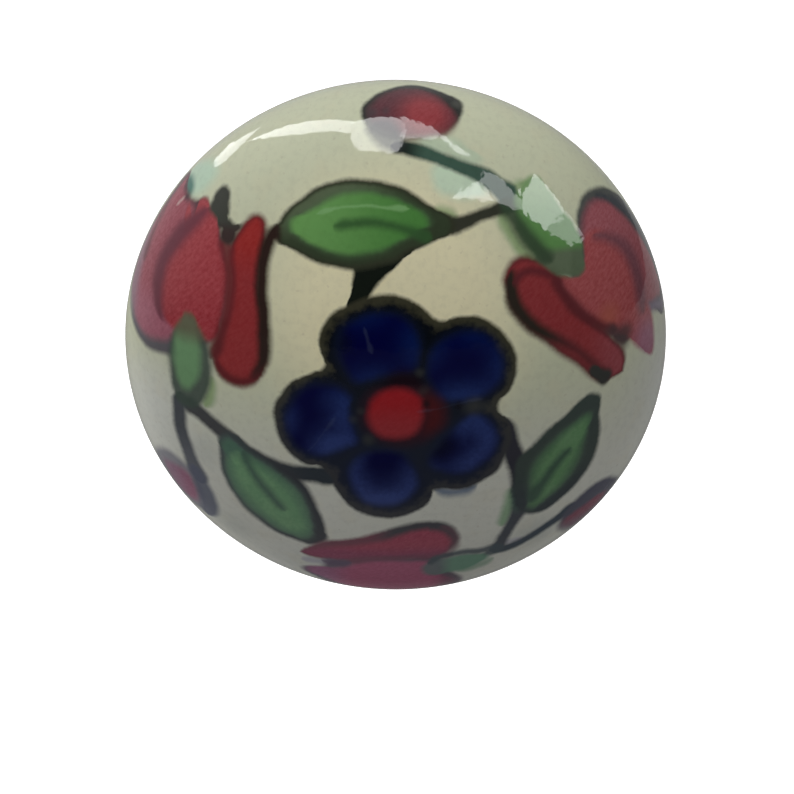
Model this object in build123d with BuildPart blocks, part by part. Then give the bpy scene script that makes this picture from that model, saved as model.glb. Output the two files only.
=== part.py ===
"""Cabinet knob: a flattened glazed ceramic ball on a plated metal base, with a threaded stud behind.

The knob's axis lies along Y. The base's foot seats on the drawer front at Y = 0, with the origin at its
centre. The ceramic head points to -Y and the stud runs through the drawer front to +Y. +Z is up.
"""

import os
from math import cos, isclose, radians, sqrt, tan

from build123d import *

# Ceramic head
head_radius = 20.0  # at its widest
head_half_depth = 12.2  # from the widest part to the crown
head_back_radius = 9.0  # flat at the back, left bare of glaze
head_back_round = 0.5  # glaze rolling over the rim of that flat
socket_radius = 5.0  # blind hole for the stud's anchor
socket_depth = 13.0
socket_floor_round = 1.0

# Metal base
base_height = 9.0  # drawer front to the head's flat back
base_rim_radius = 9.8  # flange under the head
base_rim_thickness = 1.5
base_neck_radius = 7.0
base_foot_radius = 11.0
base_foot_thickness = 1.7
base_shoulder = 0.8  # flat step between the cove and the edges above and below it
base_edge_round = 0.5
base_web = 3.0  # held between the head and the stud's collar
foot_ring_width = 2.6  # the only part of the foot that touches the drawer front
foot_relief_depth = 0.8

# Stud, turned from hexagon bar
thread_radius = 2.0
stud_reach = 25.0  # past the drawer front's face
tip_chamfer = 0.6
hex_across_flats = 7.0
hex_chamfer_angle = 30.0
collar_thickness = 3.2
anchor_thickness = 2.8
anchor_floor_gap = 1.0  # cement between the anchor and the bottom of the socket

# Clearances
shank_clearance = 0.15  # round the shank in the base's web
spanner_clearance = 1.3  # round the collar's corners in the base

# Places along the axis
head_back = -base_height
head_centre = head_back - head_half_depth * sqrt(1 - (head_back_radius / head_radius) ** 2)
socket_floor = head_back - socket_depth
cove_top = head_back + base_rim_thickness
cove_bottom = -base_foot_thickness
collar_top = head_back + base_web
collar_bottom = collar_top + collar_thickness
anchor_top = socket_floor + anchor_floor_gap
anchor_bottom = anchor_top + anchor_thickness

# Sizes that follow from the ones above
hex_flat_radius = hex_across_flats / 2
hex_corner_radius = hex_flat_radius / cos(radians(30))
hex_chamfer_height = (hex_corner_radius - hex_flat_radius) * tan(radians(hex_chamfer_angle))
shank_hole_radius = thread_radius + shank_clearance
recess_radius = hex_corner_radius + spanner_clearance
relief_radius = base_foot_radius - foot_ring_width

os.makedirs("parts", exist_ok=True)

# Half the section of the socket, shared by the head that it is cut from and the cement that fills it
with BuildSketch(Plane.XY) as socket_section:
    with Locations((0, head_back)):
        Rectangle(socket_radius, socket_depth, align=(Align.MIN, Align.MAX))
    floor_corner = socket_section.vertices().group_by(Axis.Y)[0].sort_by(Axis.X)[-1]
    fillet(floor_corner, socket_floor_round)

# Ceramic head: half an ellipse, cut off at the flat back and turned about the axis
with BuildPart() as ceramic_head:
    with BuildSketch(Plane.XY):
        with Locations((0, head_centre)):
            Ellipse(head_radius, head_half_depth)
        with Locations((0, head_back)):
            Rectangle(head_radius, 2 * head_half_depth, align=(Align.MIN, Align.MAX), mode=Mode.INTERSECT)
    revolve(axis=Axis.Y)
    back_rim = ceramic_head.edges().filter_by(GeomType.CIRCLE).sort_by(Axis.Y)[-1]
    fillet(back_rim, head_back_round)
    revolve(socket_section.sketch, axis=Axis.Y, mode=Mode.SUBTRACT)
ceramic_head.part.label = "ceramic_head"
export_step(ceramic_head.part, "parts/ceramic_head.step")

# Metal base: flange, cove and foot turned in one piece, hollow underneath for the stud's collar
with BuildPart() as base_rosette:
    with BuildSketch(Plane.XY):
        with BuildLine():
            cove = ThreePointArc(
                (base_rim_radius - base_shoulder, cove_top),
                (base_neck_radius, (cove_top + cove_bottom) / 2),
                (base_foot_radius - base_shoulder, cove_bottom),
            )
            Polyline(
                cove @ 1,
                (base_foot_radius, cove_bottom),
                (base_foot_radius, 0),
                (relief_radius, 0),
                (relief_radius, -foot_relief_depth),
                (recess_radius, -foot_relief_depth),
                (recess_radius, collar_top),
                (shank_hole_radius, collar_top),
                (shank_hole_radius, head_back),
                (base_rim_radius, head_back),
                (base_rim_radius, cove_top),
                cove @ 0,
            )
        make_face()
    revolve(axis=Axis.Y)
    circles = base_rosette.edges().filter_by(GeomType.CIRCLE)
    rim_edges = circles.filter_by(lambda edge: isclose(edge.radius, base_rim_radius))
    foot_edges = circles.filter_by(lambda edge: isclose(edge.radius, base_foot_radius))
    fillet(rim_edges + foot_edges, base_edge_round)
base_rosette.part.label = "base_rosette"
export_step(base_rosette.part, "parts/base_rosette.step")

# Stud: anchor, plain shank, clamping collar and threaded end in one turned piece
with BuildPart() as mounting_stud:
    with BuildSketch(Plane.XY):
        with BuildLine():
            Polyline(
                (0, anchor_top),
                (hex_flat_radius, anchor_top),
                (hex_corner_radius, anchor_top + hex_chamfer_height),
                (hex_corner_radius, anchor_bottom),
                (thread_radius, anchor_bottom),
                (thread_radius, collar_top),
                (hex_corner_radius, collar_top),
                (hex_corner_radius, collar_bottom - hex_chamfer_height),
                (hex_flat_radius, collar_bottom),
                (thread_radius, collar_bottom),
                (thread_radius, stud_reach - tip_chamfer),
                (thread_radius - tip_chamfer, stud_reach),
                (0, stud_reach),
                close=True,
            )
        make_face()
    revolve(axis=Axis.Y)
    for hex_start, hex_thickness in ((anchor_top, anchor_thickness), (collar_top, collar_thickness)):
        with BuildSketch(Plane(origin=(0, hex_start, 0), z_dir=(0, 1, 0))):
            Circle(2 * hex_corner_radius)
            RegularPolygon(hex_flat_radius, side_count=6, major_radius=False, mode=Mode.SUBTRACT)
        extrude(amount=hex_thickness, mode=Mode.SUBTRACT)
mounting_stud.part.label = "mounting_stud"
export_step(mounting_stud.part, "parts/mounting_stud.step")

# Cement: fills the socket round the stud's anchor and shank, flush with the head's flat back
with BuildPart() as cement_plug:
    revolve(socket_section.sketch, axis=Axis.Y)
    add(mounting_stud.part, mode=Mode.SUBTRACT)
cement_plug.part.label = "cement_plug"
export_step(cement_plug.part, "parts/cement_plug.step")
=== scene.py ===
from math import atan2, cos, hypot, pi, radians, sin, tan

import bpy
from mathutils import Matrix, Vector


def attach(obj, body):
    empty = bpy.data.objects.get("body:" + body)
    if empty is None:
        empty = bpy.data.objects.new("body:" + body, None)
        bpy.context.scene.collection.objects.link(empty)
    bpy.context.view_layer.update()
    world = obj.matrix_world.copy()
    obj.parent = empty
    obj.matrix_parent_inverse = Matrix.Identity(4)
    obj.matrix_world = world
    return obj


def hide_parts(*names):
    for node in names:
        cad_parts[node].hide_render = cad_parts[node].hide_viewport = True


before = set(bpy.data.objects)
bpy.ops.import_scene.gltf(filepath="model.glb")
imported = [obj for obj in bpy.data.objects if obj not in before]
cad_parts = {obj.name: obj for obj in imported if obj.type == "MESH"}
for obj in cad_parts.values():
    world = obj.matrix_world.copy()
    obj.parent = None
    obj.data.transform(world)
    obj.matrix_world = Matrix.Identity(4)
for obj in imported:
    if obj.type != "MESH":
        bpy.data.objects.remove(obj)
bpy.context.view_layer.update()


# Ceramic head: a flattened ball of fired clay, cast and turned with a flat back and a blind
# socket, brushed with flowers by hand under a clear glossy glaze. It takes the stud in cement.

head_radius = 0.020
head_half_depth = 0.0122
head_back = -0.009
head_back_radius = 0.009
head_back_round = 0.0005
socket_radius = 0.005
socket_depth = 0.013
head_centre = head_back - head_half_depth * (1 - (head_back_radius / head_radius) ** 2) ** 0.5


def chosen(mesh, faces=None, edges=None):
    """Selects the faces or edges of a mesh in edit mode that pass a test, and nothing else."""
    bpy.ops.mesh.select_mode(type="FACE" if faces else "EDGE")
    bpy.ops.mesh.select_all(action="DESELECT")
    bpy.ops.object.mode_set(mode="OBJECT")
    for part in mesh.polygons if faces else mesh.edges:
        part.select = (faces or edges)(part)
    bpy.ops.object.mode_set(mode="EDIT")


def named(name):
    """Ends the edit of the active object, sets its place in its mesh and gives it a name."""
    bpy.ops.object.mode_set(mode="OBJECT")
    bpy.ops.object.transform_apply(location=True, rotation=True, scale=True)
    piece = bpy.context.active_object
    piece.name = piece.data.name = name
    return piece


bpy.ops.object.select_all(action="DESELECT")
bpy.ops.mesh.primitive_uv_sphere_add(segments=192, ring_count=128, radius=head_radius, rotation=(pi / 2, 0, 0))
bpy.ops.object.transform_apply(rotation=True)
bpy.ops.object.mode_set(mode="EDIT")
bpy.ops.transform.resize(value=(1, head_half_depth / head_radius, 1))
bpy.ops.transform.translate(value=(0, head_centre, 0))
bpy.ops.mesh.select_all(action="SELECT")
bpy.ops.mesh.bisect(plane_co=(0, head_back, 0), plane_no=(0, 1, 0), use_fill=True, clear_outer=True, threshold=1e-7)
mesh = bpy.context.active_object.data
chosen(mesh, edges=lambda edge: all(abs(mesh.vertices[i].co.y - head_back) < 1e-6 for i in edge.vertices))
bpy.ops.mesh.bevel(offset=head_back_round, segments=4, affect="EDGES")
chosen(mesh, faces=lambda face: face.normal.y > 0.999 and len(face.vertices) > 4)
bpy.ops.mesh.inset(thickness=head_back_radius - head_back_round - socket_radius)
bpy.ops.mesh.extrude_region_move(TRANSFORM_OT_translate={"value": (0, -socket_depth, 0)})
head = named("painted_head")
bpy.ops.object.shade_smooth_by_angle(angle=radians(35))


class Flow:
    """One output of a shader node. Sums with it add Math nodes to its tree."""

    def __init__(self, socket):
        self.socket = socket
        self.tree = socket.id_data

    def node(self, kind, settings=None, sockets=None, output=0):
        """Adds a node: its settings first, then its sockets' values or links. Gives one output."""
        node = self.tree.nodes.new(kind)
        for name, value in (settings or {}).items():
            if name == "curve":
                node.mapping.use_clip = False
                points = node.mapping.curves[0].points
                points[0].location, points[1].location = value[0], value[-1]
                for x, y in value[1:-1]:
                    points.new(x, y)
                node.mapping.update()
            else:
                setattr(node, name, value)
        for key, value in (sockets or {}).items():
            if isinstance(value, Flow):
                self.tree.links.new(value.socket, node.inputs[key])
            else:
                node.inputs[key].default_value = value
        return Flow(node.outputs[output])

    def beside(self, output):
        """Another output of the same node."""
        return Flow(self.socket.node.outputs[output])

    def math(self, operation, *values):
        return self.node("ShaderNodeMath", {"operation": operation}, dict(enumerate((self, *values))))

    def vector(self, operation, other=None, output=0):
        sockets = {0: self} if other is None else {0: self, 1: other}
        return self.node("ShaderNodeVectorMath", {"operation": operation}, sockets, output)

    def scaled(self, amount):
        return self.node("ShaderNodeVectorMath", {"operation": "SCALE"}, {0: self, "Scale": amount})

    def spread(self, low, high, start=0.0, end=1.0):
        """Maps low to high smoothly onto start to end, and holds the ends."""
        return self.node("ShaderNodeMapRange", {"interpolation_type": "SMOOTHSTEP"},
                         {"Value": self, 1: low, 2: high, 3: start, 4: end})

    def noise(self, scale, detail=2.0, roughness=0.5, dimensions="3D", output=0):
        return self.node("ShaderNodeTexNoise", {"noise_dimensions": dimensions},
                         {"Vector": self, "Scale": scale, "Detail": detail, "Roughness": roughness}, output)

    def blend(self, first, second):
        """A colour between two, by this amount."""
        return self.node("ShaderNodeMix", {"data_type": "RGBA"}, {0: self, 6: pigment(first), 7: pigment(second)}, 2)

    def mixed(self, other, amount):
        """This colour, with another laid over it by an amount."""
        return amount.blend(self, other)

    def bumped(self, strength, distance):
        """The normal of a surface that this height raises."""
        return self.node("ShaderNodeBump", {}, {"Strength": strength, "Distance": distance, "Height": self}, "Normal")

    def __add__(self, other): return self.math("ADD", other)
    def __radd__(self, other): return self.math("ADD", other)
    def __sub__(self, other): return self.math("SUBTRACT", other)
    def __mul__(self, other): return self.math("MULTIPLY", other)
    def __rmul__(self, other): return self.math("MULTIPLY", other)
    def __truediv__(self, other): return self.math("DIVIDE", other)

    def __rsub__(self, other):
        return self.node("ShaderNodeMath", {"operation": "SUBTRACT"}, {0: other, 1: self})


def pigment(shade):
    """A colour as it is read off a screen, 0 to 255, made linear for a shader. One from a node stays."""
    if isinstance(shade, Flow):
        return shade
    return (*(c / 3294.6 if c <= 10 else ((c / 255 + 0.055) / 1.055) ** 2.4 for c in shade), 1)


def finish(name):
    """A new material, its shader and the place on the piece that its pattern reads."""
    material = bpy.data.materials.new(name)
    material.use_nodes = True
    shader = material.node_tree.nodes["Principled BSDF"]
    place = Flow(material.node_tree.nodes.new("ShaderNodeTexCoord").outputs["Object"])
    return material, shader, place


def feed(shader, socket, flow):
    """Links what changes over a surface to its shader."""
    flow.tree.links.new(flow.socket, shader.inputs[socket])


def dressed(piece, material):
    """Gives a piece its one material."""
    piece.data.materials.clear()
    piece.data.materials.append(material)


def from_axis(place):
    """A place in its three parts, and the part of it that lies across the knob's axis."""
    along = place.node("ShaderNodeSeparateXYZ", {}, {0: place})
    return along, along.node("ShaderNodeCombineXYZ", {}, {0: along, 1: along.beside("Z")})


glaze, shader, place = finish("painted_glaze")

# The painter's sheet: millimetres out from the crown over the curved front, as a flat map. front_run is
# how many of them a radian of tilt takes, and crown_run adds more near the crown.
front_run = 16.34
crown_run = 1.95
along, across = from_axis(place)
out = across.vector("LENGTH", output="Value")
depth = (head_centre - along.beside("Y")) * (1 / head_half_depth)
tilt = (out * (1 / head_radius)).math("ARCTAN2", depth)
arc = tilt * front_run + (tilt * 2).math("SINE") * crown_run
flat = across.scaled(arc / out)

# A hand's unsteadiness, and the glaze that the inks ran into, move every edge a little.
sheet = flat
for scale, reach in ((0.5, 0.22), (3.2, 0.09)):
    shake = flat.noise(scale, 1, 0.5, "2D", "Color")
    shake = shake.node("ShaderNodeSeparateColor", {}, {0: shake})
    shake = shake.node("ShaderNodeCombineXYZ", {}, {0: shake - 0.5, 1: shake.beside("Green") - 0.5})
    sheet = sheet.vector("ADD", shake.scaled(reach))
right = sheet.node("ShaderNodeSeparateXYZ", {}, {0: sheet})
up = right.beside("Y")

# The brush's streaks and slanting grain, clouds in the wash, and pools of ink.
streak = flat.noise(3.0, 3, 0.6, "2D")
cloud = flat.noise(0.45, 2, 0.5, "2D")
slant = flat.node("ShaderNodeCombineXYZ", {}, {0: flat.vector("DOT_PRODUCT", (1.1, 1.1, 0), "Value"),
                                               1: flat.vector("DOT_PRODUCT", (-3.3, 3.3, 0), "Value")})
grain = slant.noise(1.0, 2, 0.6, "2D").spread(0.25, 0.75) * 0.5 + streak.spread(0.2, 0.8) * 0.5
pool = flat.noise(1.3, 2, 0.5, "2D")


def enclosed(centre, *outline):
    """Millimetres inside a closed outline, whose points are read as a radius for each angle."""
    offsets = [(u - centre[0], v - centre[1]) for u, v in outline]
    turns = sorted((atan2(v, u), hypot(u, v)) for u, v in offsets)
    before = [(turn - 2 * pi, radius) for turn, radius in turns[-2:]]
    after = [(turn + 2 * pi, radius) for turn, radius in turns[:2]]
    angle = (up - centre[1]).math("ARCTAN2", right - centre[0])
    edge = angle.node("ShaderNodeFloatCurve", {"curve": before + turns + after}, {"Value": angle})
    return edge - sheet.vector("DISTANCE", (*centre, 0), "Value")


def stroked(*path):
    """Millimetres inside a brush stroke through points (u, v, half width), along its chord."""
    points = [Vector(point[:2]) for point in path]
    ahead = (points[-1] - points[0]).normalized()
    aside = Vector((-ahead.y, ahead.x))
    runs = [(point - points[0]).dot(ahead) for point in points]
    bows = [(point - points[0]).dot(aside) for point in points]
    widths = []
    for i, (_, _, half) in enumerate(path):
        a, b = max(i - 1, 0), min(i + 1, len(path) - 1)
        widths.append(half * hypot(1, (bows[b] - bows[a]) / (runs[b] - runs[a])))
    shortest_cap, past_end = 0.25, -0.3
    cap, tail = max(path[0][2], shortest_cap), max(path[-1][2], shortest_cap)
    offset = sheet.vector("SUBTRACT", (*points[0], 0))
    run = offset.vector("DOT_PRODUCT", (*ahead, 0), "Value")
    bow = offset.vector("DOT_PRODUCT", (*aside, 0), "Value")
    line = run.node("ShaderNodeFloatCurve", {"curve": list(zip(runs, bows))}, {"Value": run})
    half = [(runs[0] - cap, past_end), *zip(runs, widths), (runs[-1] + tail, past_end)]
    half = run.node("ShaderNodeFloatCurve", {"curve": half}, {"Value": run})
    return half - (bow - line).math("ABSOLUTE")


def between(first, second):
    """Millimetres inside a long shape, between two edges of points from one end to the other."""
    start = (Vector(first[0]) + Vector(second[0])) / 2
    ahead = ((Vector(first[-1]) + Vector(second[-1])) / 2 - start).normalized()
    aside = Vector((-ahead.y, ahead.x))
    offset = sheet.vector("SUBTRACT", (*start, 0))
    run = offset.vector("DOT_PRODUCT", (*ahead, 0), "Value")
    bow = offset.vector("DOT_PRODUCT", (*aside, 0), "Value")
    rows = [[Vector(point) - start for point in edge] for edge in (first, second)]
    rows = [[(point.dot(ahead), point.dot(aside)) for point in row] for row in rows]
    rows.sort(key=lambda row: -sum(y for _, y in row) / len(row))
    ends = [sum(row[i][1] for row in rows) / 2 for i in (0, -1)]
    past, gaps = 0.5, []
    for row, way in zip(rows, (1, -1)):
        row = [(row[0][0] - past, ends[0] - way * past), *row, (row[-1][0] + past, ends[1] - way * past)]
        edge = run.node("ShaderNodeFloatCurve", {"curve": row}, {"Value": run})
        gaps.append(edge - bow if way > 0 else bow - edge)
    return gaps[0].math("MINIMUM", gaps[1])


def rounded(u, v, radius):
    """Millimetres inside a round dab."""
    return radius - sheet.vector("DISTANCE", (u, v, 0), "Value")


def dabbed(*spots):
    """Soft dabs at spots (u, v, radius, strength), which add up where they meet."""
    whole = None
    for u, v, radius, strength in spots:
        dab = sheet.vector("DISTANCE", (u, v, 0), "Value").spread(radius, 0, 0, strength)
        whole = dab if whole is None else whole + dab
    return whole


def joined(*reaches):
    """Millimetres inside several shapes that make one."""
    whole = reaches[0]
    for reach in reaches[1:]:
        whole = whole.math("MAXIMUM", reach)
    return whole


def ink(reach, thin, dense):
    """Brown-black paint: thin at the edge of a line, dense where it pools."""
    return (reach + (pool - 0.5) * 1.3).spread(0.25, 1.15).blend(thin, dense)


def ruddy(red, green, blue, swing=11):
    """A red with the brush's fine slanting grain in it."""
    return grain.blend(*([part + way * swing for part in (red, green, blue)] for way in (-1, 1)))


def leafy(first, second):
    """A green that clouds and streaks make uneven."""
    return (cloud * 0.5 + streak * 0.5).spread(0.35, 0.65).blend(first, second)


def tint(shade, amount):
    """Lays a colour over the painting by an amount."""
    global paint
    paint = paint.mixed(shade, amount)


def brush(shade, reach, soft, cover=1.0):
    """Brushes a colour over the painting out to a reach, soft at its edge."""
    tint(shade, reach.spread(-soft, soft, 0.0, cover))


# Bare glaze: cream over the crown, cooler and greyer round it, partly painted light and shade, with faint clouds and
# a few specks.
# Cooler and whiter lower down: partly painted light, standing in for the cool light from below.
paint = up.spread(-8, 4).blend((226, 227, 216), (211, 215, 186))
# A warm, brighter patch above the flower: partly the glaze's cream, partly a painted sheen.
tint((246, 239, 200), flat.vector("DISTANCE", (0, 8, 0), "Value").spread(13, 5))
# Whiter at both sides and at the bottom: painted light, where the lamps fall short.
tint((230, 232, 224), dabbed((24, -2, 9, 1), (-19, -3, 7, 0.8), (-8, -17, 7, 0.8)))
# Grey patches low on the front: painted shade.
tint((192, 197, 190), dabbed((11, -13, 3, 0.7), (19, -14, 7, 0.8), (-13, -13, 3, 0.5), (-14.5, -5, 2.5, 0.4)))
tint((218, 208, 174), cloud.spread(0.5, 0.75, 0, 0.12))
tint((150, 130, 100), flat.noise(2.2, 1, 0.4, "2D").spread(0.74, 0.82, 0, 0.12))
# The back, out of the painting's reach, is one even cream.
tint((219, 221, 202), flat.vector("LENGTH", output="Value").spread(25.5, 31))

# Thin turquoise and pale green washes, left where the brush ran past the outlines.
brush((208, 231, 204), enclosed((4.4, 16.6), (2.8, 17.7), (2.75, 16.6), (3.3, 15.8), (4.2, 15.5), (5.8, 15.5),
    (6.8, 15.9), (6.3, 16.7), (4.6, 17.5), (3.4, 18)), 0.55, 0.9)
brush((190, 208, 181), enclosed((4, 19.2), (1.8, 20.1), (3, 19.9), (5.5, 19.1), (6.6, 18.2), (6, 17.9), (4, 18.6),
    (2, 19.3)), 0.5, 0.8)
brush((194, 222, 199), enclosed((-16.8, 16.8), (-18.8, 17.7), (-17.4, 18.3), (-15.8, 18.1), (-14.7, 17),
    (-15.2, 15.9), (-16.4, 15), (-17.4, 15)), 0.8, 0.85)
brush((58, 115, 106), enclosed((-18, 15.9), (-18.9, 16.6), (-18.2, 16.8), (-17.5, 16.4), (-17, 15.6), (-17.1, 15),
    (-17.8, 15), (-18.6, 15.5)), 0.5, 0.9)
brush((124, 160, 102), joined(stroked((2.9, 14.6, 0.25), (3.6, 14.45, 0.35), (4.4, 14.1, 0.2)),
    stroked((8.7, 15.8, 0.2), (9.2, 16.1, 0.3), (9.8, 16.3, 0.2))), 0.45, 0.75)
brush((150, 176, 126), joined(stroked((7.7, 14.3, 0.3), (8.6, 12.6, 0.5), (9.4, 11.4, 0.5), (10.2, 10.5, 0.35)),
    stroked((-13.6, 1.4, 0.2), (-13.7, 0.3, 0.4), (-14.1, -0.9, 0.35))), 0.4, 0.9)
brush((140, 176, 138), stroked((8.8, -7.2, 0.3), (8.5, -8.6, 0.5), (8.3, -9.8, 0.5), (8, -10.8, 0.3)), 0.4, 0.9)
brush((140, 170, 146), stroked((5, -16.5, 0.3), (6.3, -16.2, 0.45), (7.5, -15.4, 0.3)), 0.45, 0.8)
brush((180, 178, 192), joined(stroked((8.2, -13, 0.25), (8.9, -13.2, 0.35), (9.7, -13.1, 0.2)),
    stroked((-7.2, -15.2, 0.3), (-6, -15.1, 0.45), (-5, -15, 0.4))), 0.35, 0.7)
brush((112, 127, 150), stroked((3, -6.6, 0.25), (4.5, -6.85, 0.35), (5.8, -6.55, 0.25)), 0.4, 0.9)

# Stems, black where they start from the flower, grey and green further out.
brush((25, 31, 25), enclosed((-2.2, 10.2), (1.5, 12.1), (0.7, 11.45), (0.1, 10.85), (-0.45, 10.3), (-0.85, 9.9),
    (-1.25, 9.5), (-1.8, 8.85), (-2.25, 8.2), (-2.9, 7.6), (-3.5, 7.8), (-3.3, 8.7), (-3.1, 9.5), (-3, 10.4),
    (-3, 11.4), (-2, 12), (-0.5, 12.2)), 0.22)
stem = stroked((3.6, 13.5, 0.5), (5, 13.7, 0.5), (6, 14.08, 0.44), (7.4, 14.45, 0.46), (8.6, 14.8, 0.5))
brush((61, 63, 53), stem, 0.24)
stem = stroked((0, 19.3, 0.45), (1, 19.1, 0.55), (2, 18.82, 0.58), (3, 18.45, 0.5), (5, 17.65, 0.54),
    (6.38, 17.1, 0.64), (7.6, 16.12, 0.74), (8.9, 15, 0.78))
brush(right.spread(0.5, 2.5).blend((34, 42, 38), (70, 96, 83)), stem, 0.25)
stem = stroked((-4.2, -5.45, 0.65), (-6, -5.42, 0.6), (-7.4, -5.4, 0.55), (-9, -5.1, 0.54), (-10.5, -4.45, 0.5),
    (-12, -3.5, 0.48), (-13.5, -2.5, 0.48), (-14.8, -1.7, 0.5), (-15.8, -1.2, 0.5))
brush(right.spread(-11, -6).blend((78, 79, 81), (56, 63, 70)), stem + 0.12, 0.3)
stem = stroked((-16.4, -0.8, 0.45), (-16.55, -2, 0.5), (-16.5, -4, 0.52), (-15.9, -6.3, 0.56), (-15.3, -8.3, 0.66))
brush(up.spread(-3, -8).blend((80, 84, 90), (108, 111, 119)), stem + 0.12, 0.32)
stem = stroked((7.9, -1, 0.4), (8.3, -2.8, 0.55), (8.8, -4.6, 0.66), (9.2, -6.4, 0.62), (9.3, -8.2, 0.66),
    (9.2, -10, 0.52), (8.6, -11.4, 0.42), (8.15, -12.8, 0.4), (7.9, -13.7, 0.4))
brush(dabbed((9.2, -8.4, 1.9, 1.3)).blend(up.spread(-7, -11).blend((58, 58, 67), (72, 77, 86)), (86, 111, 99)),
    stem + 0.1, 0.3)
stem = stroked((7.6, -14.05, 0.4), (9.1, -13.9, 0.42), (10.3, -13.35, 0.42), (11.5, -12.65, 0.42),
    (12.65, -11.9, 0.44), (13.9, -10.9, 0.48))
brush((66, 78, 90), stem + 0.08, 0.3)

# Flower: five cobalt petals that pool to near black, in a black ring, round a red eye.
flower = enclosed((0, 0.1), (-5.45, 5.2), (-4.85, 6.95), (-4.2, 7.6), (-3.2, 8.2), (-2, 8.72), (-0.6, 8.88),
    (0.65, 8.62), (1.65, 8.12), (2.4, 7.45), (3, 7), (3.9, 7.1), (5.05, 7.2), (6.1, 7), (7.1, 6.35), (7.85, 5.6),
    (8.5, 4.45), (8.75, 3.2), (8.6, 2.15), (8.1, 1.25), (7.4, 0.35), (7.4, -0.05), (8, -0.7), (8.4, -2), (8.3, -3.2),
    (7.9, -4.2), (7.5, -5.1), (6.7, -5.8), (5.7, -6.45), (4.4, -6.65), (3.2, -6.5), (2.8, -6.6), (2.6, -7.2),
    (2.25, -7.95), (1.3, -8.7), (0.1, -9.15), (-0.9, -9.22), (-2, -9), (-3.25, -8.25), (-4.05, -7.2), (-4.5, -6.35),
    (-4.7, -5.5), (-5.4, -4.75), (-6.45, -4.65), (-7.2, -4.2), (-8.1, -3.2), (-8.6, -2.15), (-8.8, -1), (-8.75, 0.1),
    (-8.35, 1), (-7.7, 1.9), (-6.85, 2.55), (-5.8, 3.05), (-5.15, 3.5), (-5.25, 4.2))
higher = up.spread(-6, 6)
brush(ink(flower, higher.blend((64, 65, 69), (64, 63, 49)), higher.blend((36, 42, 58), (12, 17, 24))), flower, 0.22)
petals = joined(enclosed((-1.3, 5.1), (-3.95, 5.3), (-3.5, 6.4), (-2.65, 7), (-1.7, 7.35), (-0.5, 7.4), (0.6, 7),
        (1.25, 6.25), (1.55, 5.3), (1.5, 4.2), (1.2, 3.5), (0, 3.15), (-1, 3), (-2, 2.6), (-2.8, 2.5), (-3.3, 3.1),
        (-3.7, 3.9), (-3.95, 4.5)),
    enclosed((5, 3.5), (2.4, 3.6), (2.6, 4.6), (3.2, 5.3), (4.2, 5.8), (5.2, 6), (6.2, 5.7), (7, 5.1), (7.5, 4.2),
        (7.7, 3.2), (7.4, 2.2), (6.8, 1.6), (6, 1.1), (5, 0.95), (4, 1), (3.3, 1.2), (2.8, 1.9), (2.4, 2.7)),
    enclosed((5.2, -2.9), (6.2, -0.6), (6.9, -1.2), (7.3, -2.2), (7.2, -3.2), (6.9, -3.9), (6.2, -4.5), (5.3, -5),
        (4.5, -5.1), (3.5, -4.9), (2.6, -4.2), (2.6, -3.4), (3.2, -2.5), (4, -1.6), (4.9, -0.7), (5.6, -0.3)),
    enclosed((-0.9, -5.4), (-0.8, -3.1), (-2, -3.3), (-2.9, -4), (-3.3, -5.2), (-3.2, -6), (-2.8, -7), (-2.2, -7.7),
        (-1, -7.95), (0.2, -7.7), (1, -7), (1.5, -6.2), (1.4, -5), (1, -4.1), (0.4, -3.4)),
    enclosed((-5.4, -0.9), (-7.9, -1), (-7.6, 0.2), (-6.9, 1.2), (-6, 1.9), (-5, 2), (-4, 1.8), (-3.3, 1.2),
        (-3.4, 0.2), (-3.2, -0.6), (-3, -1.5), (-2.9, -2.3), (-3.6, -2.8), (-4.6, -3.3), (-5.8, -3.6), (-6.8, -3.3),
        (-7.5, -2.5)))
brush((24, 34, 68), petals + 0.4, 0.5, 0.45)
bright = dabbed((1.8, 5.2, 3, 0.8), (-1.6, 2.2, 2.8, 0.8), (-2.2, 8, 2.8, 0.7), (4.9, 0.4, 3.4, 1.5),
    (8.4, 3.2, 3.2, 1), (6, 6.6, 3, 0.7), (6.6, -2.4, 2.7, 1), (5.2, -4.4, 2.2, 0.8), (-0.9, -8.4, 4.2, 1.6),
    (1.9, -5.4, 2.8, 0.8), (-3.7, -5.4, 2.6, 0.8), (-3.8, 0.5, 2.4, 1.1), (-4.2, -2.7, 3, 1.4),
    (-8.3, -0.8, 2.2, 0.7))
bright = bright * petals.spread(2.3, 0.3, 0.45, 0.95) * streak.spread(0.25, 0.75, 0.85, 1.08)
blue = bright.blend((2, 4, 62), up.spread(-8, 6).blend((58, 74, 134), (14, 37, 94)))
brush(blue.mixed((9, 13, 40), dabbed((-4.1, 5.3, 1.6, 1), (3, -2.6, 2.2, 0.9))), petals, 0.45)
halo = enclosed((0.5, 0.2), (-2.1, 1), (-1, 2.3), (0.3, 3.2), (1.4, 3), (2.2, 1.8), (3.1, 1), (3.5, 0), (3.3, -1),
    (2.5, -1.7), (1.5, -2.4), (0, -2.5), (-1.4, -1.9), (-2.2, -0.8))
maroon = right.spread(1.4, 2.8).blend((60, 30, 40), (86, 27, 30)).mixed((27, 5, 18), up.spread(1.7, 2.5))
brush(maroon, halo, 0.75, 0.9)
eye = enclosed((0, 0.05), (1.88, 0.3), (1.7, 1.3), (0.5, 1.95), (-1, 1.65), (-1.85, 0.6), (-1.85, -0.7),
    (-1.1, -1.75), (0, -1.95), (1.25, -1.6), (1.8, -0.8))
brush(up.spread(1.2, -1.6).blend(ruddy(169, 36, 43, 4), ruddy(163, 54, 60, 4)), eye, 0.45)
tint((20, 18, 24), dabbed((2.15, 0.75, 0.5, 0.7), (4.5, 0.6, 0.6, 0.7)))
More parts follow.
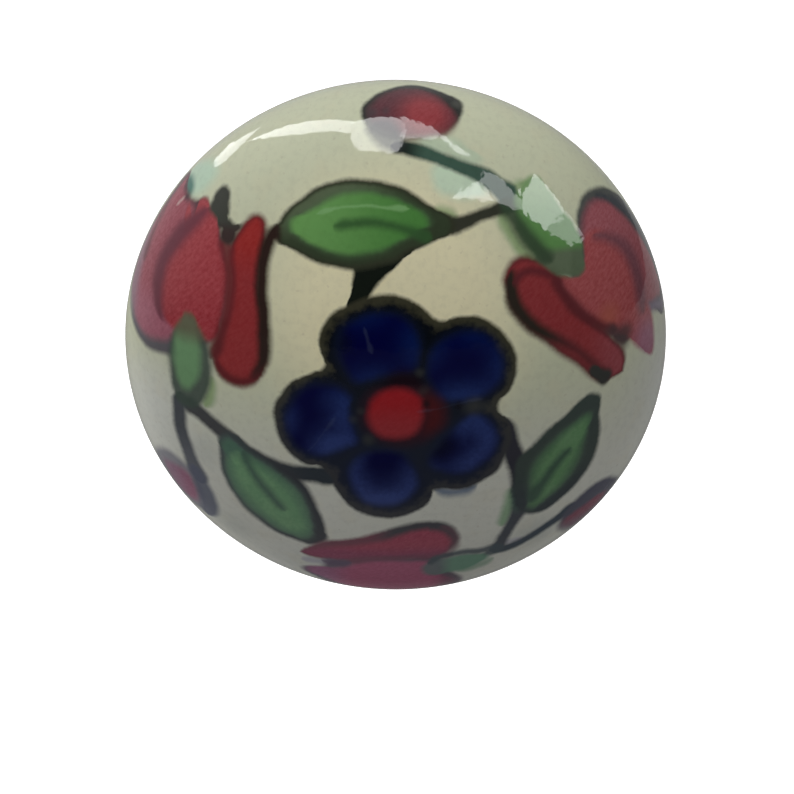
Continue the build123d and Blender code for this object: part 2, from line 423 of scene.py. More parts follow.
tint((66, 68, 66), dabbed((-3, -0.5, 0.6, 0.4), (-1.95, -2.1, 0.75, 0.6), (-2.5, 0.2, 0.5, 0.4), (1.7, 3.2, 0.6, 0.5),
    (2, 1.8, 0.6, 0.3), (5.6, 0.35, 1.2, 0.75), (6.6, 0.2, 0.8, 0.4)))

# Top leaf: a brown-black ring, a green fill, its vein and a thin light line, which is a painted reflection.
ring = enclosed((-2.6, 13.6), (-8.95, 12.9), (-8.65, 13.5), (-7.85, 14.65), (-6.9, 15.4), (-6, 16.1), (-5, 16.5),
    (-4, 16.75), (-2.2, 16.85), (-1, 16.7), (0, 16.4), (1, 16), (2, 15.4), (3, 14.7), (4, 14.15), (4.3, 13.6),
    (4, 13), (3, 12.6), (2, 12.1), (1, 11.7), (0.2, 11.2), (-1.5, 10.7), (-3, 10.45), (-4, 10.55), (-5, 10.7),
    (-6, 11), (-7, 11.5), (-8, 11.9), (-8.8, 12.3))
leaf = enclosed((-2.6, 13.6), (-7.7, 13.35), (-6.6, 14.25), (-5, 15.2), (-3.5, 15.75), (-2, 15.85), (0, 15.4),
    (1.2, 14.9), (2.1, 14.3), (2.3, 13.8), (1.6, 13.35), (0.8, 12.8), (0, 12.4), (-1, 12), (-2.5, 11.7), (-3.5, 11.6),
    (-5, 11.85), (-6, 12.2), (-7, 12.7))
band = (up.spread(11.8, 14.4) * right.spread(1.5, -4)).blend((60, 71, 52), (94, 108, 82))
brush(ring.spread(0.15, 0.6).blend((58, 62, 48), band), ring, 0.26)
brush((84, 116, 78), leaf + 0.3, 0.4, 0.5)
brush(right.spread(-7, 2).blend((113, 166, 94), (83, 140, 70)), leaf, 0.36)
brush((60, 96, 56), stroked((-4.3, 13.5, 0.2), (-3, 13.7, 0.32), (-1.8, 13.8, 0.34), (-0.6, 13.65, 0.3),
    (0.5, 13.4, 0.3), (1.5, 13.1, 0.4), (2.3, 12.8, 0.4)), 0.34, 0.9)
# The thin light line along the leaf: a painted reflection.
brush((136, 184, 122), stroked((-5.7, 14.35, 0.04), (-4, 14.8, 0.07), (-2.5, 14.95, 0.08), (-1, 14.88, 0.08),
    (1, 14.8, 0.04)), 0.12, 0.7)

# Top bud, in its ring, which the stem's ink runs into below.
ring = enclosed((1.3, 22.9), (-2.8, 22), (-2.55, 23.2), (-1.8, 24.2), (-0.8, 25), (0.3, 25.6), (1.5, 25.95),
    (2.7, 25.7), (3.7, 25.2), (4.5, 24.6), (5.3, 24), (5.7, 23.2), (5.6, 22.4), (5.2, 21.6), (4.7, 20.9), (3.8, 20.2),
    (2.4, 19.9), (0.6, 19.7), (-1, 20), (-2.2, 20.8))
brush(ink(ring, (46, 48, 44), (36, 38, 36)), ring, 0.26, up.spread(20.2, 21.8, 0.55, 1))
bud = enclosed((1.3, 22.6), (-2.2, 22.2), (-1.9, 23.2), (-1.1, 24.15), (0, 24.85), (1.5, 25.2), (2.6, 24.9),
    (3.5, 24.3), (4.2, 23.3), (4.8, 22.2), (4.9, 21.3), (4.2, 20.4), (2.4, 20), (0.6, 20), (-0.9, 20.6), (-1.9, 21.4))
brush(dabbed((2.4, 22.1, 3.2, 1.3)).blend(ruddy(98, 52, 60, 8), ruddy(156, 64, 69, 8)), bud, 0.5, 0.95)
tint((72, 62, 66), dabbed((-1.9, 22.2, 0.9, 0.7), (-0.8, 22.4, 0.6, 0.5)))
tint((84, 86, 78), dabbed((5.2, 23.2, 0.8, 0.6)))
brush((50, 54, 60), enclosed((-0.7, 20.2), (-2.3, 20.75), (-1.5, 21.5), (-0.4, 21.4), (0.15, 20.8), (0.5, 19.9),
    (0.3, 19.1), (-0.2, 18.9), (-1.15, 19.2), (-1.9, 19.9)), 0.5, 0.8)

# Right tulip: outer petal in its grey ring, middle petal, near petal in black, folds, and a green cup.
ring = enclosed((18.6, 9.2), (13.9, 12.4), (13.95, 13.2), (14.3, 14.2), (15.1, 15.1), (16.4, 15.55), (17.5, 15.65),
    (18.8, 15.5), (20, 15.1), (21, 14.4), (22.2, 13), (23.2, 11.2), (24, 9), (24.4, 7), (24.5, 5), (24, 4.1),
    (22, 4.5), (20.5, 4.8), (18.6, 4), (17.4, 3.2), (16.2, 4.6), (14.2, 6.6), (13, 9))
petal = enclosed((19, 10.2), (14.3, 11.8), (14.5, 12.9), (15.1, 14), (16, 14.5), (17, 14.5), (18, 14.1), (19, 13.4),
    (20, 12.6), (21, 11.6), (22, 10.3), (22.8, 9.1), (23.5, 7.4), (23.8, 6), (22.4, 5.5), (20.6, 5.5), (19.6, 6),
    (18.5, 8), (16.5, 10.5), (15, 11))
brush(ink(ring, (88, 91, 88), (72, 76, 81)), ring, 0.3)
# The outer petal's light, greyish pink is partly a painted reflection near the rim.
brush(ruddy(165, 95, 102), petal, 0.55)
brush((135, 121, 140), stroked((19.8, 5.2, 0.3), (21.2, 5.05, 0.42), (22.8, 4.75, 0.42), (24.3, 4.4, 0.4)),
    0.45, 0.92)
petal = enclosed((16.2, 7.4), (11.9, 9.5), (12.8, 9.2), (13.9, 9.3), (14.2, 10.2), (14.3, 11.4), (15.2, 12.3),
    (16.6, 12.1), (18, 11.1), (19, 10), (19.5, 8.6), (19.7, 7), (20, 5.6), (20.6, 4.4), (21.1, 3), (21.2, 1.9),
    (21, 1.25), (20.3, 1.4), (19.2, 2.4), (18.3, 3.2), (17.6, 3.9), (16.6, 4.3), (15.3, 4.9), (14, 5.7), (12.9, 6.8),
    (12, 8.1))
lobe = between([(17.8, 4), (18.4, 3), (19.2, 2.25), (20.2, 1.5), (20.8, 1.2)],
    [(19.8, 6.4), (20.7, 5.3), (21.15, 4.2), (21.25, 3), (21.25, 1.9), (21.1, 1.3)])
flush = dabbed((20.3, 2.6, 3, 1.2)).blend(ruddy(172, 87, 89), ruddy(169, 111, 132, 7))
brush(flush.mixed((183, 100, 84), dabbed((16.2, 5.7, 1.6, 0.7))), petal.math("MAXIMUM", lobe), 0.36)
brush((streak - 0.2).blend((112, 72, 82), (140, 92, 100)), stroked((15.7, 11.9, 0.3), (17, 11.5, 0.45),
    (18.2, 10.8, 0.6), (19, 9.9, 0.7), (19.4, 9, 0.72), (19.6, 8, 0.7), (19.7, 7, 0.68), (19.8, 6, 0.6),
    (19.9, 5.3, 0.45)), 0.65, 0.9)
petal = between([(9.9, 10.65), (11, 10.25), (11.7, 9.5), (12, 8.6), (12.5, 7.5), (13.3, 6.4), (14.4, 5.4),
        (15.5, 4.55), (16.4, 3.7), (17.1, 2.8), (17.45, 1.9), (17.4, 1.4)],
    [(8.2, 9), (8.3, 8.2), (8.75, 7.2), (9.4, 6.4), (10.2, 5.65), (11, 5), (12, 4.05), (13, 3.2), (14, 2.25),
        (14.9, 1.35), (15.8, 0.95), (16.9, 1)])
petal = joined(petal, rounded(9.3, 9.6, 1.18))
brush((100, 46, 50), petal + 0.35, 0.35)
brush(right.spread(14, 16.6).blend(ruddy(149, 59, 62, 6), ruddy(158, 76, 82, 6)), petal, 0.34)
line = stroked((8.3, 9.9, 0.25), (8.3, 8.9, 0.48), (8.55, 7.8, 0.52), (9.15, 6.8, 0.5), (9.95, 6, 0.46),
    (10.8, 5.35, 0.4), (11.8, 4.75, 0.36), (12.9, 4, 0.34), (14, 3, 0.34), (15, 1.95, 0.38), (15.9, 0.95, 0.5))
brush(right.spread(10.5, 13).blend((52, 46, 40), (86, 44, 47)), line, 0.42, right.spread(11, 14, 1, 0.8))
brush((62, 63, 60), enclosed((15.6, 1.1), (14.5, 2), (15.5, 1.7), (16.35, 1.1), (16.15, 0.7), (15.8, 0.4), (15, 1)),
    0.26)
brush((100, 45, 50), joined(stroked((8.6, 9.4, 0.25), (9.4, 9.95, 0.3), (10.4, 9.9, 0.32), (11.4, 9.5, 0.3)),
    stroked((11.5, 9.7, 0.3), (12.25, 8.2, 0.42), (13.2, 6.9, 0.46), (14.4, 5.8, 0.44), (15.6, 4.95, 0.42),
        (16.5, 4.5, 0.4))), 0.38, 0.9)
brush((86, 66, 68), enclosed((17.3, 3.9), (16, 4.8), (17.1, 4.7), (18.3, 4.3), (18.1, 3.5), (17.5, 2.85),
    (17.15, 3.2), (16.6, 3.9)), 0.55, 0.85)
cup = enclosed((11.3, 13.2), (8.8, 14.7), (9.5, 16.1), (10.4, 16.8), (11, 16.8), (11.8, 15.7), (12.8, 14.2),
    (13.7, 12.9), (14.15, 11.6), (14.15, 10.4), (14, 9.25), (13.3, 9.15), (12.4, 9.25), (11.5, 9.7), (10.6, 10.5),
    (9.6, 12), (8.9, 13.3))
brush(up.spread(11.7, 10.8).blend(up.spread(13.5, 16).blend((96, 148, 82), (126, 164, 108)), (98, 114, 89)),
    cup, 0.3, 0.97)
brush((62, 80, 60), stroked((8.1, 14.9, 0.45), (9, 13.4, 0.55), (9.8, 12.2, 0.6), (10.6, 11.3, 0.58),
    (11.3, 10.7, 0.45)), 0.48, 0.94)

# Left tulip: built up as the right one, with a black tooth beside its near petal.
ring = enclosed((-18, 8.8), (-19.1, 17.4), (-18.6, 16.9), (-18.2, 16), (-17.6, 15.2), (-16.9, 14.8), (-16.2, 14.6),
    (-15.1, 14.85), (-14.6, 14.3), (-13.8, 13.6), (-13, 12), (-12.3, 9.5), (-12.6, 6), (-13.8, 4), (-15.6, 3),
    (-17.3, 2.3), (-18.4, 2.15), (-19.6, 2.15), (-20.8, 2.55), (-22, 3.4), (-23.2, 4.6), (-24, 6.2), (-24.1, 8),
    (-23.7, 10), (-22.8, 12), (-21.8, 13.6), (-20.8, 15.2), (-20, 16.8))
brush(up.spread(7, 10).blend((102, 99, 104), (98, 62, 70)), ring, 0.35, right.spread(-24, -21.5, 0.5, 1))
petal = enclosed((-19.6, 8.6), (-19.1, 16.7), (-18.6, 15.6), (-17.8, 14.9), (-16.4, 14), (-15.4, 11), (-15.4, 7),
    (-16.6, 4.3), (-17.6, 3.5), (-18.8, 3.2), (-20.2, 3.25), (-21.6, 4), (-22.8, 5.1), (-23.6, 6.4), (-23.7, 8.2),
    (-23.3, 10), (-22.3, 12), (-21.3, 13.6), (-20.3, 15.2), (-19.6, 16.4))
# The outer petal's pink, turning lilac-grey towards the left rim, is partly a painted reflection of the pale room in
# the glaze.
pink_and_rim_reflection = right.spread(-21, -22.6).blend(up.spread(8, 5).blend(ruddy(164, 84, 96), ruddy(172, 102, 118, 8)),
    ruddy(148, 110, 124, 6))
brush(pink_and_rim_reflection, petal, 0.5, 0.97)
brush((214, 184, 180), stroked((-18.6, 14.1, 0.06), (-18.2, 14.45, 0.14), (-17.8, 14.75, 0.06)), 0.2, 0.75)
petal = enclosed((-15.6, 9), (-15.1, 14.75), (-14.6, 14.1), (-13.9, 13.8), (-13.5, 12.9), (-13.2, 11.6),
    (-12.7, 10.5), (-12.4, 9), (-12.5, 7.5), (-12.9, 5.8), (-13.6, 4.3), (-14.6, 4.1), (-16.2, 4.3), (-17.2, 4.6),
    (-18.2, 5.4), (-18.7, 6.6), (-18.7, 8), (-18.3, 9.5), (-17.6, 10.8), (-16.8, 11.8), (-16.3, 13), (-16.7, 14.2),
    (-15.8, 14.5))
brush(up.spread(9, 5).blend(ruddy(172, 72, 78), ruddy(165, 63, 70)), petal, 0.34)
brush((112, 54, 68), stroked((-18.4, 5.2, 0.35), (-18.9, 6.8, 0.6), (-18.9, 8.4, 0.74), (-18.4, 10, 0.76),
    (-17.5, 11.4, 0.8), (-16.4, 12.6, 0.75), (-15.5, 13.4, 0.5), (-14.9, 13.9, 0.3)), 0.6, 0.92)
tint((60, 50, 56), dabbed((-17.4, 14.8, 0.7, 0.7)))
brush((82, 48, 56), stroked((-19.2, 17.2, 0.3), (-20.35, 14.7, 0.34), (-21.2, 11.7, 0.32), (-21.7, 9, 0.2)),
    0.45, 0.6)
petal = between([(-10.9, 13.45), (-11.4, 12.75), (-11.85, 12.2), (-12.1, 11.6), (-12.15, 10.4), (-12.05, 9.6),
        (-12, 8.5), (-12.1, 7.2), (-12.4, 6), (-12.8, 5), (-13.2, 3.8), (-13.2, 3)],
    [(-9.85, 13.2), (-9.75, 12.4), (-9.85, 11.2), (-10.05, 10), (-10.1, 9), (-10, 8), (-9.85, 7), (-9.75, 6),
        (-9.65, 5), (-9.65, 4), (-9.78, 3)])
petal = joined(petal, rounded(-10.38, 13.1, 0.58), rounded(-11.5, 3.2, 1.72))
brush((102, 42, 46), petal + 0.3, 0.36)
brush(up.spread(9, 12).blend(ruddy(154, 56, 58, 5), ruddy(162, 52, 50, 5)), petal - 0.1, 0.4)
brush((102, 40, 44), stroked((-9.8, 2.6, 0.3), (-10.5, 1.85, 0.36), (-11.4, 1.55, 0.36), (-12.4, 1.85, 0.34),
    (-13.2, 2.6, 0.3)), 0.4, 0.8)
brush(up.spread(3.5, 1.8).blend((52, 38, 34), (88, 40, 42)), stroked((-8.8, 13.2, 0.3), (-9.25, 12.2, 0.5),
    (-9.58, 11, 0.5), (-9.7, 10, 0.48), (-9.7, 8.5, 0.5), (-9.55, 7, 0.48), (-9.45, 5.5, 0.5), (-9.45, 4.2, 0.48),
    (-9.75, 3.1, 0.4), (-10.2, 2.2, 0.34)).math("MAXIMUM", rounded(-9, 12.6, 0.55)), 0.36)
brush(up.spread(4, 7).blend((102, 43, 46), (116, 46, 51)), stroked((-13.5, 3.2, 0.4), (-12.9, 4.9, 0.4),
    (-12.45, 6.5, 0.4), (-12.25, 8, 0.4), (-12.3, 9.5, 0.42), (-12.5, 10.7, 0.5), (-12.75, 11.6, 0.55)), 0.42, 0.92)
tooth = joined(enclosed((-13.45, 14.4), (-14.15, 15.5), (-13.5, 15.95), (-13.05, 15.7), (-12.8, 14.6), (-12.7, 13.6),
        (-12.7, 13), (-13.3, 12.6), (-13.8, 13.3), (-14.6, 14), (-14.45, 14.8)),
    enclosed((-12.7, 12.7), (-13.3, 13.4), (-12.7, 13.5), (-12.1, 13.15), (-11.5, 13.1), (-11.85, 12.5),
        (-12.5, 11.5), (-12.9, 11.6), (-13.3, 12.6)))
brush(up.spread(12.4, 13.4).blend((65, 52, 50), (66, 68, 61)), tooth, 0.28)
cup = enclosed((-15.5, 2.2), (-15.6, 6), (-14.7, 5.2), (-14, 4.2), (-13.6, 2.8), (-13.65, 1.2), (-14.2, -0.4),
    (-15, -1.4), (-16.2, -1.5), (-17, -0.4), (-17.4, 1.4), (-17.3, 3), (-17, 4.4), (-16.3, 5.3))
brush(up.spread(3.4, 5.2).blend((74, 88, 80), (104, 106, 86)), cup, 0.4, 0.95)
cup = enclosed((-15.7, 2.6), (-15.6, 5.8), (-14.95, 5.1), (-14.6, 4), (-14.5, 2.7), (-14.7, 1.4), (-15.2, 0.5),
    (-15.8, 0), (-16.5, 0.6), (-16.85, 1.6), (-16.9, 3), (-16.8, 4.3), (-16.2, 5.2))
brush(up.spread(3.2, 5).blend((120, 162, 117), (108, 110, 88)), cup, 0.5, 0.96)

# Left leaf and bud. The bud lies on the side, and a grey stroke edges it.
ring = enclosed((-9.4, -8.2), (-12.95, -3.3), (-13.1, -4.4), (-13.15, -5.4), (-13.1, -6.3), (-12.7, -7.9),
    (-11.95, -9.3), (-10.9, -10.6), (-9.65, -11.6), (-8.3, -12.35), (-7.2, -12.65), (-6.3, -12.75), (-5.5, -12.3),
    (-5.3, -11.1), (-5.5, -9.5), (-6.05, -7.95), (-6.7, -6.4), (-8.6, -5), (-11, -3.7), (-12.2, -2.9))
leaf = enclosed((-9.6, -7.9), (-12.55, -3.5), (-12.65, -5), (-12.65, -6.4), (-12.3, -7.75), (-11.55, -9.1),
    (-10.5, -10.3), (-9.4, -11.2), (-8.05, -11.9), (-6.75, -12), (-6.35, -10.8), (-6.55, -9.2), (-7, -7.8),
    (-7.6, -6.8), (-8.3, -6.1), (-9.4, -5.3), (-10.6, -4.6), (-11.8, -3.8))
brush(right.spread(-8, -12).blend((62, 65, 71), (76, 84, 86)), ring + 0.1, 0.32)
brush((100, 126, 112), leaf + 0.3, 0.45, 0.5)
brush(leafy((114, 161, 119), (125, 170, 126)).mixed((88, 122, 104),
    (leaf.spread(1.3, 0.2) * 0.6 + dabbed((-12.3, -3.9, 1.7, 1))).math("MINIMUM", 1)), leaf, 0.4)
brush((76, 104, 90), stroked((-11.2, -4.4, 0.3), (-10.8, -5.6, 0.34), (-10.2, -6.7, 0.36), (-9.6, -7.6, 0.38),
    (-9.1, -8.3, 0.34), (-8.4, -9.2, 0.2)), 0.42, 0.92)
ring = enclosed((-17.3, -9.9), (-20.6, -8.7), (-19.6, -7.4), (-18.4, -6.8), (-17.2, -7), (-16, -7.8), (-15.4, -9.5),
    (-15.6, -11.5), (-16.2, -13), (-18, -12.6), (-19.8, -11))
brush((137, 136, 146), ring, 0.5, 0.9)
brush(right.spread(-16.2, -18.6).blend(ruddy(163, 107, 131, 6), ruddy(154, 117, 138, 6)), enclosed((-17.4, -9.9),
    (-19.2, -8.7), (-17.9, -8.1), (-16.6, -8.2), (-15.9, -9.4), (-15.9, -10.8), (-16.8, -12.1), (-18.2, -11.7),
    (-19.2, -10.4)), 0.6, 0.95)
brush((98, 103, 122), stroked((-15.6, -7.4, 0.55), (-15.2, -8.8, 0.75), (-14.95, -10.2, 0.9), (-15, -11.8, 0.9),
    (-15.4, -13, 0.6)), 0.42, 0.92)

# Right leaf and bud. The bud closes round the side.
ring = enclosed((12.3, -5.3), (9.2, -4.4), (9.6, -4), (10.2, -3.5), (11, -2.7), (12, -1.9), (13, -1.1), (14, -0.4),
    (14.6, -0.2), (15.1, -0.4), (15.3, -1.2), (15.3, -2.5), (15.4, -4), (15.2, -5.3), (14.9, -6.4), (14.3, -7.5),
    (13.6, -8.4), (12.6, -9.3), (11.6, -10), (10.8, -10.15), (10, -10), (9.2, -9.2), (8.9, -8), (8.9, -6.2))
leaf = enclosed((12.2, -5.6), (14.5, -1.9), (14.4, -3), (14.1, -4.5), (13.7, -6), (13, -7.3), (12, -8.4), (11, -9.2),
    (10.2, -9.5), (10.1, -8.5), (10.1, -7.5), (10, -6.5), (10.2, -5.5), (10.7, -4.6), (11.4, -3.8), (12.3, -2.9),
    (13.3, -2.2), (14, -1.9))
brush(up.spread(-5, -9).blend((70, 81, 77), (58, 68, 72)), ring + 0.18, 0.28)
brush((96, 122, 100), leaf + 0.3, 0.45, 0.45)
brush(leafy((103, 148, 102), (114, 156, 112)).mixed((82, 112, 88), leaf.spread(1, 0.1) * 0.6), leaf, 0.42)
brush((66, 92, 78), stroked((10.2, -8.6, 0.45), (11.1, -7, 0.42), (11.7, -6, 0.4), (12.3, -5.2, 0.36),
    (13, -4.5, 0.22)), 0.42, 0.92)
ring = enclosed((15.8, -12.2), (13, -12.4), (13.4, -11.1), (14.2, -10.1), (15.2, -9.4), (16.2, -9.1), (17.2, -9.3),
    (18, -9.9), (18.7, -10.7), (18.6, -12.2), (17.6, -14.2), (16, -15.4), (14.4, -15.3), (13.3, -14.2))
brush((88, 89, 105), ring, 0.4, up.spread(-15, -12, 0.6, 1))
bud = enclosed((15.4, -12.8), (13.4, -12.6), (14.2, -12), (15.4, -11.5), (16.7, -11.2), (17.5, -11.7), (17.3, -13),
    (16.2, -14.2), (15, -14.7), (14.2, -14.4), (13.5, -13.6))
brush(up.spread(-12.4, -14).blend(ruddy(138, 75, 93, 7), ruddy(126, 90, 107, 7)), bud, 0.5, 0.95)

# Bottom tulip: its petals close under the rim.
ring = enclosed((-1, -17.6), (-7.5, -16.9), (-5.8, -16), (-5.3, -14.9), (-3, -14.2), (1, -13.8), (3.2, -14),
    (3.8, -15.4), (4.5, -16.5), (5.2, -17.8), (5.4, -19.2), (4.8, -20.8), (2.6, -22.4), (-0.6, -22.9), (-3.4, -22.2),
    (-5.4, -20.4), (-6.8, -18.4))
brush(right.spread(-4, 3).blend((110, 92, 112), (86, 66, 88)), ring, 0.4, 0.95)
petal = enclosed((-1, -17.8), (-7, -16.9), (-4.8, -15.9), (-3.6, -15.1), (0.6, -14.3), (2.4, -14.5), (3.3, -15.4),
    (3.6, -16.6), (4.3, -17.5), (4.7, -18.8), (4, -20.8), (2, -21.8), (-0.6, -22.2), (-3, -21.4), (-4.8, -19.8),
    (-6, -18.2))
rose = right.spread(-3, -6).blend(right.spread(2.6, 4.4).blend(ruddy(189, 92, 128, 8), ruddy(126, 66, 92, 8)),
    ruddy(172, 110, 146, 8))
brush(rose, petal, 0.5, 0.97)
ring = between([(-7.2, -13.8), (-6.5, -13), (-5.3, -12.15), (-4, -11.8), (-2.5, -11.3), (-1, -10.6), (0.5, -10),
        (1.5, -9.7), (2.5, -9.65), (3.2, -9.85)],
    [(-7, -14.4), (-5.5, -14.6), (-4, -14.6), (-2, -14.1), (0, -13.9), (1.5, -14), (2.7, -14), (3.4, -13.7)])
ring = joined(ring, rounded(2.7, -11.7, 2.03))
brush(right.spread(-2.2, 0.2).blend((128, 72, 88), (74, 72, 79)), ring, 0.3)
petal = between([(-7, -13.9), (-5.5, -13.05), (-3, -12.4), (-1, -11.7), (0.5, -11), (1.5, -10.6), (2.6, -10.6)],
    [(-6.9, -14.2), (-5.5, -14.4), (-4, -14.4), (-2, -13.9), (0, -13.7), (1.5, -13.8), (2.6, -13.8)])
petal = joined(petal, rounded(2.55, -12.3, 1.66))
brush(up.spread(-12.2, -13.6).blend(ruddy(172, 73, 96, 8), ruddy(153, 68, 100, 8)), petal, 0.42)
brush((118, 76, 88), stroked((3.6, -10.3, 0.2), (4.35, -11.1, 0.24), (4.55, -12.2, 0.24), (4.4, -13.2, 0.24)),
    0.35, 0.6)
brush((132, 70, 94), stroked((-3.6, -14.5, 0.25), (-1.2, -14, 0.28), (1, -13.8, 0.3), (2.6, -13.75, 0.3),
    (4.2, -13.7, 0.3)), 0.4, 0.85)
brush((104, 84, 112), stroked((-5.5, -14.95, 0.42), (-4.6, -15, 0.5), (-3.6, -14.8, 0.3)), 0.4, 0.85)
cup = enclosed((4.8, -15.2), (7.2, -14.4), (6.5, -14.1), (5.5, -13.9), (4, -14.1), (3, -14.4), (2.1, -15.1),
    (2.2, -16.2), (3, -16.8), (4.2, -16.5), (5.5, -16.3), (6.6, -15.6))
brush(right.spread(4.6, 3.2).blend((108, 155, 130), (110, 122, 124)), cup, 0.36, 0.96)
brush((72, 86, 94), joined(stroked((8.2, -13.7, 0.4), (6.5, -13.7, 0.4), (4.9, -13.6, 0.36), (3.55, -13.95, 0.34),
        (2.65, -14.6, 0.3)),
    enclosed((7.4, -14.1), (6.9, -13.7), (8, -13.4), (8.2, -14.2), (7.6, -14.7), (7, -14.5))), 0.3, 0.92)

# A few hair scratches, where the glaze is worn.
brush((110, 122, 150), joined(stroked((-2.2, 6.4, 0.04), (-2, 5.6, 0.09), (-1.75, 4.7, 0.12)),
    stroked((-4.3, -0.4, 0.01), (-5.2, -1.8, 0.01), (-6.1, -3.1, 0.02), (-6.3, -3.4, 0.01)),
    stroked((1.5, 0.2, 0.01), (3, 0.35, 0.01), (4.6, 0.75, 0.01), (6.2, 0.9, 0.01))), 0.12, 0.1)

# Faint mottling in all the colours, and the clear glaze over them with its slow ripple.
tint((0, 0, 0), flat.noise(1.6, 2, 0.6, "2D").spread(0.4, 0.8, 0, 0.06))
feed(shader, "Base Color", paint)
shader.inputs["Roughness"].default_value = 0.035
shader.inputs["IOR"].default_value = 1.5
feed(shader, "Normal", flat.noise(0.7, 2, 0.5, "2D").bumped(0.018, 0.001))
dressed(head, glaze)
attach(head, "root")
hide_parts("ceramic_head")


# Base: flange, cove and foot turned from brass in one piece and nickel plated, hollow underneath.
# It stands between the head and the drawer front, and the stud's collar clamps it to the head.

base_rim_radius = 0.0098
base_rim_thickness = 0.0015
base_neck_radius = 0.007
base_foot_radius = 0.011
base_foot_thickness = 0.0017
base_shoulder = 0.0008
base_edge_round = 0.0005
recess_edge_round = 0.00015
base_web = 0.003
foot_relief_radius = 0.0084
foot_relief_depth = 0.0008
recess_radius = 0.00534
shank_hole_radius = 0.00215
cove_top = head_back + base_rim_thickness
cove_bottom = -base_foot_thickness
collar_top = head_back + base_web


def turned(rings, sides=160):
    """Draws a turned wall, ring by ring of (radius, y), about the knob's axis. It stays in edit mode."""
    radius, y = rings[0]
    bpy.ops.object.select_all(action="DESELECT")
    bpy.ops.mesh.primitive_circle_add(vertices=sides, radius=radius, location=(0, y, 0), rotation=(pi / 2, 0, 0))
    bpy.ops.object.transform_apply(location=True, rotation=True)
    bpy.ops.object.mode_set(mode="EDIT")
    bpy.ops.mesh.select_mode(type="EDGE")
    bpy.ops.mesh.select_all(action="SELECT")
    for next_radius, next_y in rings[1:]:
        bpy.ops.mesh.extrude_region_move(TRANSFORM_OT_translate={"value": (0, next_y - y, 0)})
        grown = next_radius / radius
        bpy.ops.transform.resize(value=(grown, 1, grown), center_override=(0, next_y, 0))
        radius, y = next_radius, next_y
    return bpy.context.active_object.data


def arc_through(start, middle, end, steps):
    """Points on the arc through three points, from the first to the last."""
    (ax, ay), (bx, by), (cx, cy) = start, middle, end
    spread = 2 * (ax * (by - cy) + bx * (cy - ay) + cx * (ay - by))
    squares = [x * x + y * y for x, y in (start, middle, end)]
    ux = (squares[0] * (by - cy) + squares[1] * (cy - ay) + squares[2] * (ay - by)) / spread
    uy = (squares[0] * (cx - bx) + squares[1] * (ax - cx) + squares[2] * (bx - ax)) / spread
    reach = hypot(ax - ux, ay - uy)
    first, last = (atan2(y - uy, x - ux) % (2 * pi) for x, y in (start, end))
    turns = [first + (last - first) * i / steps for i in range(steps + 1)]
    return [(ux + reach * cos(turn), uy + reach * sin(turn)) for turn in turns]


cove = arc_through((base_rim_radius - base_shoulder, cove_top), (base_neck_radius, (cove_top + cove_bottom) / 2),
                   (base_foot_radius - base_shoulder, cove_bottom), 28)
mesh = turned([(base_rim_radius, head_back), (base_rim_radius, cove_top), *cove, (base_foot_radius, cove_bottom),
               (base_foot_radius, 0), (foot_relief_radius, 0), (foot_relief_radius, -foot_relief_depth),
               (recess_radius, -foot_relief_depth), (recess_radius, collar_top),
               (shank_hole_radius, collar_top), (shank_hole_radius, head_back), (base_rim_radius, head_back)])
bpy.ops.mesh.select_all(action="SELECT")
bpy.ops.mesh.remove_doubles(threshold=1e-7)
bpy.ops.mesh.normals_make_consistent()


def on_ring(edge, radius):
    """Whether an edge lies round the axis at a radius."""
    ends = [mesh.vertices[i].co for i in edge.vertices]
    return abs(ends[0].y - ends[1].y) < 1e-7 and all(abs(hypot(end.x, end.z) - radius) < 1e-6 for end in ends)


chosen(mesh, edges=lambda edge: on_ring(edge, base_rim_radius) or on_ring(edge, base_foot_radius))
bpy.ops.mesh.bevel(offset=base_edge_round, segments=5, affect="EDGES")
chosen(mesh, edges=lambda edge: on_ring(edge, foot_relief_radius) or on_ring(edge, recess_radius))
bpy.ops.mesh.bevel(offset=recess_edge_round, segments=2, affect="EDGES")
base = named("turned_base")
bpy.ops.object.shade_smooth_by_angle(angle=radians(30))

nickel, shader, place = finish("nickel_plate")
along, across = from_axis(place)
lathe_feed = across.vector("LENGTH", output="Value") * 5200 + along.beside("Y") * 7400
tool_mark = lathe_feed.node("ShaderNodeTexNoise", {"noise_dimensions": "1D"},
                            {"W": lathe_feed, "Scale": 1.0, "Detail": 3.0, "Roughness": 0.7})
tarnish = place.noise(260, 4, 0.6).spread(0.42, 0.72)
fine_wear = place.noise(2600, 2, 0.5).spread(0.60, 0.74)
feed(shader, "Base Color", tarnish.blend((214, 211, 203), (188, 182, 168)))
shader.inputs["Metallic"].default_value = 1.0
feed(shader, "Roughness", tool_mark * 0.10 + tarnish * 0.10 + fine_wear * 0.08 + 0.12)
feed(shader, "Normal", tool_mark.bumped(0.12, 0.00004))
dressed(base, nickel)
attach(base, "root")
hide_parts("base_rosette")


# Stud: turned from hexagon steel bar, threaded M4 and zinc plated. Its collar clamps the base, and
# its other end, with a hexagon anchor, stands in the head's socket.

thread_radius = 0.002
thread_root_radius = 0.00157
thread_pitch = 0.0007
thread_turns = 43
thread_overlap = 0.0004
stud_reach = 0.025
tip_chamfer = 0.0006
hex_flat_radius = 0.0035
hex_corner_radius = hex_flat_radius / cos(radians(30))
hex_chamfer_height = (hex_corner_radius - hex_flat_radius) * tan(radians(30))
collar_height = 0.0032
anchor_height = 0.0028
anchor_clearance = 0.001
collar_bottom = collar_top + collar_height
anchor_top = head_back - socket_depth + anchor_clearance
anchor_bottom = anchor_top + anchor_height

